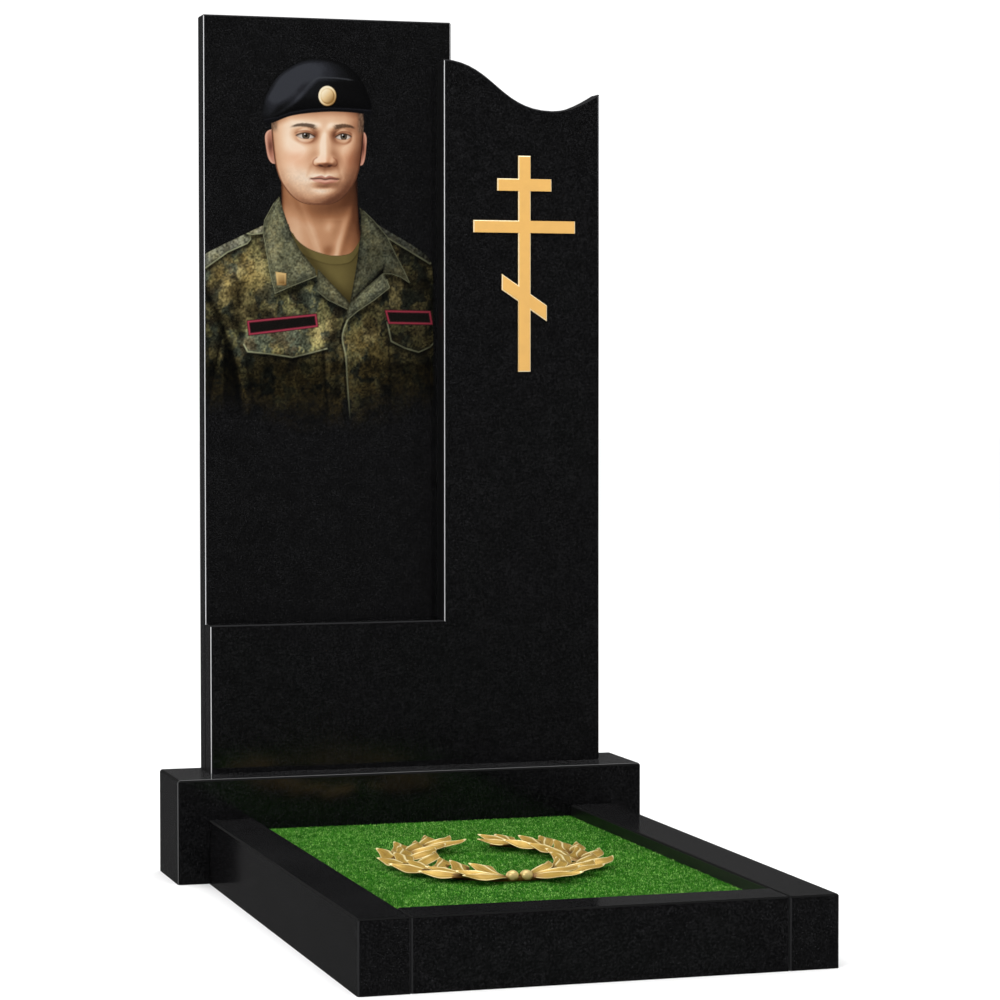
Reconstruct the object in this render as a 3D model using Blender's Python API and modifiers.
"""Granite grave memorial: a two-slab stele on a base block, a kerbed bed of turf in front of it,
a laurel wreath lying on the turf and a three-bar cross on the stele. Metres, +Z up. The visitor
stands on the -Y side, and the origin is on the ground at the middle of the whole footprint."""

import math

import bmesh
import bpy
from mathutils import Matrix, Vector
from mathutils.geometry import interpolate_bezier

# Clearance between stones that touch
FIT_GAP = 0.0003

# Base block under the stele
BASE_WIDTH = 0.700
BASE_DEPTH = 0.140
BASE_HEIGHT = 0.150
BASE_CHAMFER = 0.003

# Kerbed bed in front of the base
BED_LENGTH = 0.850
BED_WIDTH = 0.610
KERB_WIDTH = 0.065
KERB_HEIGHT = 0.092
KERB_CHAMFER = 0.002
TURF_DROP = 0.015

# Stele: a tall narrow slab, and an L-shaped slab in front of it that frames a bare panel.
# Heights are above the base's top.
STELE_WIDTH = 0.595
STELE_OFFSET = 0.0075
STELE_SETBACK = 0.062
TALL_HEIGHT = 1.100
TALL_THICKNESS = 0.0345
FRONT_THICKNESS = 0.0355
PANEL_WIDTH = 0.3525
PANEL_SILL = 0.2155
SLAB_LAP = 0.022
STELE_CHAMFER = 0.002

# The L-shaped slab's wave-cut top, from its shoulder beside the panel through a dip to its end
SHOULDER_HEIGHT = 1.043
DIP_HEIGHT = 0.9705
DIP_FROM_END = 0.0745
END_HEIGHT = 0.998
SHOULDER_FALL = math.radians(2.5)
END_RISE = math.radians(32)
SHOULDER_HANDLE = 0.078
DIP_HANDLE_IN = 0.082
DIP_HANDLE_OUT = 0.027
END_HANDLE = 0.026
WAVE_STEPS = 16

# Cross on the L-shaped slab. Heights are from its foot.
CROSS_FOOT = 0.583
CROSS_HEIGHT = 0.320
CROSS_OFFSET = 0.003
CROSS_THICKNESS = 0.003
CROSS_CHAMFER = 0.0012
UPRIGHT_WIDTH = 0.019
BAR_WIDTH = 0.018
TOP_BAR_SPAN = 0.084
TOP_BAR_HEIGHT = 0.277
MAIN_BAR_SPAN = 0.158
MAIN_BAR_HEIGHT = 0.215
SLANT_BAR_SPAN = 0.070
SLANT_BAR_HEIGHT = 0.110
SLANT_BAR_RISE = 0.0235
SLANT_BAR_FALL = math.radians(33.5)

# Laurel wreath, cast as one. Its width follows from the room beside it, and its other
# proportions are shares of that width.
WREATH_SIDE_ROOM = 0.0815
WREATH_TURN = math.radians(-3)
WREATH_SHIFT_X = -0.008
WREATH_SHIFT_Y = -0.022
STEM_SPAN = 0.73
STEM_LENGTH = 0.92
STEM_RADIUS = 0.012
STEM_POINTS = 33
STEM_GAP = math.radians(16)
LEAF_LENGTH = 0.225
LEAF_WIDTH = 0.075
LEAF_RIDGE = 0.018
LEAF_THICKNESS = 0.009
LEAF_CURL = 0.07
LEAF_STATIONS = 5
WHORLS = 7
FIRST_WHORL = 0.04
LAST_WHORL = 0.79
LEAF_TIP = 0.06
LEAF_BELLY_PLACE = 0.85
LEAF_RIDGE_AT_TIP = 0.25

# Each whorl's three leaves: turn away from the twig, upward tilt, lift above it and size
OUTER_LEAF = (math.radians(27), 0.01, 0.002, 1.0)
INNER_LEAF = (math.radians(-46), 0.05, 0.004, 0.88)
TOP_LEAF = (0.0, 0.05, 0.012, 1.0)

# The two berries where the branches meet
BERRY_RADIUS = 0.0235
BERRY_STRETCH = 1.2
BERRY_SPACING = 1.02

base_front = (BED_LENGTH - BASE_DEPTH) / 2
turf_top = KERB_HEIGHT - TURF_DROP
turf_width = BED_WIDTH - 2 * KERB_WIDTH - 2 * FIT_GAP
wreath_width = turf_width - 2 * WREATH_SIDE_ROOM
stele_left = STELE_OFFSET - STELE_WIDTH / 2
stele_bottom = BASE_HEIGHT + FIT_GAP
stele_front = base_front + STELE_SETBACK

for old in list(bpy.data.objects):
    bpy.data.objects.remove(old)

parts = bpy.data.collections.new("grave_memorial")
cutters = bpy.data.collections.new("cutters")
for collection in (parts, cutters):
    bpy.context.scene.collection.children.link(collection)
centre = bpy.data.objects.new("grave_memorial_centre", None)
parts.objects.link(centre)


def material(name, colour, roughness, metallic=0.0):
    """A plain Principled material."""
    made = bpy.data.materials.new(name)
    made.use_nodes = True
    shader = made.node_tree.nodes["Principled BSDF"]
    shader.inputs["Base Color"].default_value = (*colour, 1.0)
    shader.inputs["Roughness"].default_value = roughness
    shader.inputs["Metallic"].default_value = metallic
    return made


def add_part(name, mesh, location=(0, 0, 0)):
    """Make a named object of a mesh, among the parts and under their empty."""
    made = bpy.data.objects.new(name, mesh)
    made.location = location
    parts.objects.link(made)
    made.parent = centre
    return made


def add_cutter(name, mesh, location, collection):
    """Make an object that only Booleans use."""
    made = bpy.data.objects.new(name, mesh)
    made.location = location
    collection.objects.link(made)
    made.hide_render = True
    made.display_type = "WIRE"
    return made


def mesh_of(name, bm):
    """Turn a bmesh into a mesh."""
    mesh = bpy.data.meshes.new(name)
    bm.to_mesh(mesh)
    bm.free()
    return mesh


def evaluated_mesh(obj):
    """The mesh that an object shows, with its curve or modifiers worked out and its seams welded."""
    bpy.context.view_layer.update()
    shown = obj.evaluated_get(bpy.context.evaluated_depsgraph_get())
    mesh = bpy.data.meshes.new_from_object(shown)
    bm = bmesh.new()
    bm.from_mesh(mesh)
    bmesh.ops.remove_doubles(bm, verts=bm.verts, dist=0.00001)
    bmesh.ops.recalc_face_normals(bm, faces=bm.faces)
    bm.to_mesh(mesh)
    bm.free()
    return mesh


def chamfer(obj, width, wanted):
    """Chamfer an object's outward corners where wanted says so of an edge's two ends."""
    bm = bmesh.new()
    bm.from_mesh(obj.data)
    weight = bm.edges.layers.float.new("bevel_weight_edge")
    corner = math.radians(30)
    for edge in bm.edges:
        sharp = edge.is_convex and edge.calc_face_angle(0.0) > corner
        ends = [vert.co for vert in edge.verts]
        edge[weight] = 1.0 if sharp and wanted(*ends) else 0.0
    bm.to_mesh(obj.data)
    bm.free()
    bevel = obj.modifiers.new("arris", "BEVEL")
    bevel.limit_method = "WEIGHT"
    bevel.width = width
    bevel.segments = 1


def off_the_floor(obj):
    """A test for chamfer that leaves out the edges round an object's underside."""
    floor = min(vert.co.z for vert in obj.data.vertices) + 0.0001
    return lambda a, b: a.z > floor or b.z > floor


def stone_block(name, low, high, width, finish):
    """A sawn block between two corners, with its arrises taken off above the ground."""
    low, high = Vector(low), Vector(high)
    bm = bmesh.new()
    bmesh.ops.create_cube(bm, size=1.0)
    bmesh.ops.scale(bm, vec=high - low, verts=bm.verts)
    block = add_part(name, mesh_of(name, bm), (low + high) / 2)
    if width:
        chamfer(block, width, off_the_floor(block))
    block.data.materials.append(finish)
    return block


def upright_plate(name, outline, front, thickness, finish):
    """A plate that stands in the XZ plane: an outline with its front face at a given y."""
    curve = bpy.data.curves.new(name + "_outline", "CURVE")
    curve.dimensions = "2D"
    curve.fill_mode = "BOTH"
    curve.extrude = thickness / 2
    spline = curve.splines.new("POLY")
    spline.points.add(len(outline) - 1)
    for point, (x, z) in zip(spline.points, outline):
        point.co = (x, z, 0, 1)
    spline.use_cyclic_u = True
    drawn = bpy.data.objects.new(name + "_outline", curve)
    parts.objects.link(drawn)
    mesh = evaluated_mesh(drawn)
    bpy.data.objects.remove(drawn)
    mesh.transform(Matrix.Rotation(math.radians(90), 4, "X"))
    plate = add_part(name, mesh, (0, front + thickness / 2, 0))
    plate.data.materials.clear()
    plate.data.materials.append(finish)
    return plate


# Stones

granite = material("black granite", (0.008, 0.008, 0.009), 0.08)

stone_block(
    "base_block",
    (-BASE_WIDTH / 2, base_front, 0),
    (BASE_WIDTH / 2, base_front + BASE_DEPTH, BASE_HEIGHT),
    BASE_CHAMFER,
    granite,
)

kerb_back = base_front - FIT_GAP
kerb_front = base_front - BED_LENGTH
kerb_inside = BED_WIDTH / 2 - KERB_WIDTH
for side, sign in (("left", -1), ("right", 1)):
    across = sorted((sign * kerb_inside, sign * BED_WIDTH / 2))
    stone_block(
        "kerb_" + side,
        (across[0], kerb_front, 0),
        (across[1], kerb_back, KERB_HEIGHT),
        KERB_CHAMFER,
        granite,
    )
stone_block(
    "kerb_front",
    (-kerb_inside + FIT_GAP, kerb_front, 0),
    (kerb_inside - FIT_GAP, kerb_front + KERB_WIDTH, KERB_HEIGHT),
    KERB_CHAMFER,
    granite,
)

# Stele

tall_slab = stone_block(
    "stele_back_slab",
    (stele_left, stele_front + FRONT_THICKNESS + FIT_GAP, stele_bottom),
    (
        stele_left + PANEL_WIDTH + SLAB_LAP,
        stele_front + FRONT_THICKNESS + FIT_GAP + TALL_THICKNESS,
        stele_bottom + TALL_HEIGHT,
    ),
    STELE_CHAMFER,
    granite,
)


def wave_top():
    """The wave-cut top edge, from the shoulder beside the panel to the slab's end."""
    shoulder = Vector((stele_left + PANEL_WIDTH, BASE_HEIGHT + SHOULDER_HEIGHT))
    end = Vector((stele_left + STELE_WIDTH, BASE_HEIGHT + END_HEIGHT))
    dip = Vector((end.x - DIP_FROM_END, BASE_HEIGHT + DIP_HEIGHT))
    falling = Vector((math.cos(SHOULDER_FALL), -math.sin(SHOULDER_FALL)))
    rising = Vector((math.cos(END_RISE), math.sin(END_RISE)))
    level = Vector((1, 0))
    down = interpolate_bezier(
        shoulder, shoulder + SHOULDER_HANDLE * falling, dip - DIP_HANDLE_IN * level, dip, WAVE_STEPS
    )
    up = interpolate_bezier(
        dip, dip + DIP_HANDLE_OUT * level, end - END_HANDLE * rising, end, WAVE_STEPS // 2
    )
    return [(p.x, p.y) for p in down + up[1:]]


sill = BASE_HEIGHT + PANEL_SILL
panel_edge = stele_left + PANEL_WIDTH
l_outline = [
    (stele_left, stele_bottom),
    (stele_left, sill),
    (panel_edge, sill),
    *wave_top(),
    (stele_left + STELE_WIDTH, stele_bottom),
]
front_slab = upright_plate("stele_front_slab", l_outline, stele_front, FRONT_THICKNESS, granite)
chamfer(front_slab, STELE_CHAMFER, off_the_floor(front_slab))

# Cross


def cross_outline():
    """The three-bar cross seen from the front, walked round clockwise from its head."""
    foot = BASE_HEIGHT + CROSS_FOOT
    half = UPRIGHT_WIDTH / 2
    slope = math.tan(SLANT_BAR_FALL)

    def side(sign):
        """The steps of one side, from the head down, with sign 1 on the right."""
        steps = [(half, CROSS_HEIGHT)]
        for span, height in ((TOP_BAR_SPAN, TOP_BAR_HEIGHT), (MAIN_BAR_SPAN, MAIN_BAR_HEIGHT)):
            upper, lower = height + BAR_WIDTH / 2, height - BAR_WIDTH / 2
            steps += [(half, upper), (span / 2, upper), (span / 2, lower), (half, lower)]
        reach = SLANT_BAR_SPAN / 2
        for x, edge in ((half, 1), (reach, 1), (reach, -1), (half, -1)):
            steps.append((x, SLANT_BAR_HEIGHT - sign * slope * x + edge * SLANT_BAR_RISE / 2))
        steps.append((half, 0))
        return [(sign * x, height) for x, height in steps]

    middle = stele_left + (PANEL_WIDTH + STELE_WIDTH) / 2 + CROSS_OFFSET
    return [(middle + x, foot + height) for x, height in side(1) + side(-1)[::-1]]


gilding = material("gilded metal", (0.80, 0.50, 0.15), 0.35, 1.0)
cross = upright_plate(
    "cross", cross_outline(), stele_front - FIT_GAP - CROSS_THICKNESS, CROSS_THICKNESS, gilding
)
chamfer(cross, CROSS_CHAMFER, lambda a, b: a.y < 0 and b.y < 0)

# Turf

turf = material("green turf", (0.03, 0.22, 0.02), 0.9)
turf_front = kerb_front + KERB_WIDTH + FIT_GAP
stone_block(
    "turf_bed",
    (-turf_width / 2, turf_front, 0),
    (turf_width / 2, kerb_back, turf_top),
    0,
    turf,
)

# Laurel wreath, in its own frame: its middle on the turf, its two berries towards -Y


def stem_point(angle):
    """A point of the stem at an angle from the berries, along its right branch if positive."""
    across = STEM_SPAN * wreath_width / 2
    along = STEM_LENGTH * wreath_width / 2
    lift = STEM_RADIUS * wreath_width
    return Vector((across * math.sin(angle), -along * math.cos(angle), lift))


def stem():
    """One round twig, from one side of the gap through the berries to the other side."""
    curve = bpy.data.curves.new("wreath_stem", "CURVE")
    curve.dimensions = "3D"
    curve.bevel_depth = STEM_RADIUS * wreath_width
    curve.bevel_resolution = 1
    curve.use_fill_caps = True
    spline = curve.splines.new("POLY")
    spline.points.add(STEM_POINTS - 1)
    reach = math.pi - STEM_GAP
    for i, point in enumerate(spline.points):
        angle = reach * (2 * i / (STEM_POINTS - 1) - 1)
        point.co = (*stem_point(angle), 1)
    drawn = bpy.data.objects.new("wreath_stem", curve)
    parts.objects.link(drawn)
    mesh = evaluated_mesh(drawn)
    bpy.data.objects.remove(drawn)
    return mesh


def leaf_mesh():
    """A laurel leaf along +X from its stalk: a pointed blade with a raised midrib."""
    length = LEAF_LENGTH * wreath_width
    thickness = Vector((0, 0, -LEAF_THICKNESS * wreath_width))
    bm = bmesh.new()
    bmesh.ops.create_grid(bm, x_segments=LEAF_STATIONS, y_segments=2, size=0.5)
    for vert in bm.verts:
        along = vert.co.x + 0.5
        across = 2 * vert.co.y
        belly = max(0.0, math.sin(math.pi * along ** LEAF_BELLY_PLACE))
        half = wreath_width * LEAF_WIDTH / 2 * (LEAF_TIP + (1 - LEAF_TIP) * belly)
        height = LEAF_RIDGE_AT_TIP + (1 - LEAF_RIDGE_AT_TIP) * belly
        ridge = wreath_width * LEAF_RIDGE * height * (1 - abs(across))
        curl = LEAF_CURL * length * along ** 3
        vert.co = (length * along, half * across, ridge + curl)
    below = bmesh.ops.extrude_face_region(bm, geom=bm.faces[:])["geom"]
    sunk = [item for item in below if isinstance(item, bmesh.types.BMVert)]
    bmesh.ops.translate(bm, vec=thickness, verts=sunk)
    bmesh.ops.recalc_face_normals(bm, faces=bm.faces)
    bmesh.ops.triangulate(bm, faces=bm.faces)
    return mesh_of("laurel_leaf", bm)


leaf = leaf_mesh()


def place_leaf(angle, sign, turn, pitch, lift, size):
    """A leaf of a branch, moved to its stalk's place on the stem and turned away from the twig.
    A positive turn is outward, and lift is a share of the wreath's width."""
    here = stem_point(sign * angle)
    ahead = stem_point(sign * (angle + 0.01)) - here
    heading = math.atan2(ahead.y, ahead.x) - sign * turn
    place = Matrix.Translation(here + Vector((0, 0, lift * wreath_width)))
    tilt = Matrix.Rotation(heading, 4, "Z") @ Matrix.Rotation(-pitch, 4, "Y")
    blade = leaf.copy()
    blade.transform(place @ tilt @ Matrix.Scale(size, 4))
    return blade


def berry(x):
    """One round berry on the stem beside the wreath's axis."""
    bm = bmesh.new()
    radius = BERRY_RADIUS * wreath_width
    bmesh.ops.create_uvsphere(bm, u_segments=12, v_segments=8, radius=radius)
    bmesh.ops.scale(bm, vec=(BERRY_STRETCH, 1, 1), verts=bm.verts)
    spot = stem_point(0) + Vector((x, 0, radius - STEM_RADIUS * wreath_width))
    bmesh.ops.translate(bm, vec=spot, verts=bm.verts)
    return mesh_of("berry", bm)


def wreath_pieces():
    """Meshes of all leaves and berries of the wreath."""
    made = []
    step = (LAST_WHORL - FIRST_WHORL) / (WHORLS - 1)
    for sign in (-1, 1):
        for i in range(WHORLS):
            angle = math.pi * (FIRST_WHORL + step * i)
            for turn, pitch, lift, size in (OUTER_LEAF, INNER_LEAF, TOP_LEAF):
                made.append(place_leaf(angle, sign, turn, pitch, lift, size))
    spacing = BERRY_SPACING * BERRY_STRETCH * BERRY_RADIUS * wreath_width
    made += [berry(-spacing), berry(spacing)]
    return made


brass = material("cast gilded wreath", (0.72, 0.46, 0.16), 0.35, 1.0)
bed_middle = (turf_front + kerb_back) / 2
spot = Vector((WREATH_SHIFT_X, bed_middle + WREATH_SHIFT_Y, turf_top + FIT_GAP))
wreath = add_part("wreath", stem(), spot)
wreath.rotation_euler = (0, 0, WREATH_TURN)
wreath.data.materials.clear()
wreath.data.materials.append(brass)

foliage = bpy.data.collections.new("wreath_foliage")
cutters.children.link(foliage)
for i, mesh in enumerate(wreath_pieces()):
    piece = add_cutter("foliage_%02d" % i, mesh, spot, foliage)
    piece.rotation_euler = wreath.rotation_euler

join = wreath.modifiers.new("foliage", "BOOLEAN")
join.operation = "UNION"
join.operand_type = "COLLECTION"
join.collection = foliage
join.solver = "EXACT"

bm = bmesh.new()
bmesh.ops.create_cube(bm, size=1.0)
bmesh.ops.scale(bm, vec=(2 * BED_WIDTH, 2 * BED_LENGTH, BASE_HEIGHT), verts=bm.verts)
below_turf = mesh_of("wreath_underside_cutter", bm)
under = add_cutter("wreath_underside", below_turf, spot - Vector((0, 0, BASE_HEIGHT / 2)), cutters)
flatten = wreath.modifiers.new("flat underside", "BOOLEAN")
flatten.operation = "DIFFERENCE"
flatten.object = under
flatten.solver = "EXACT"
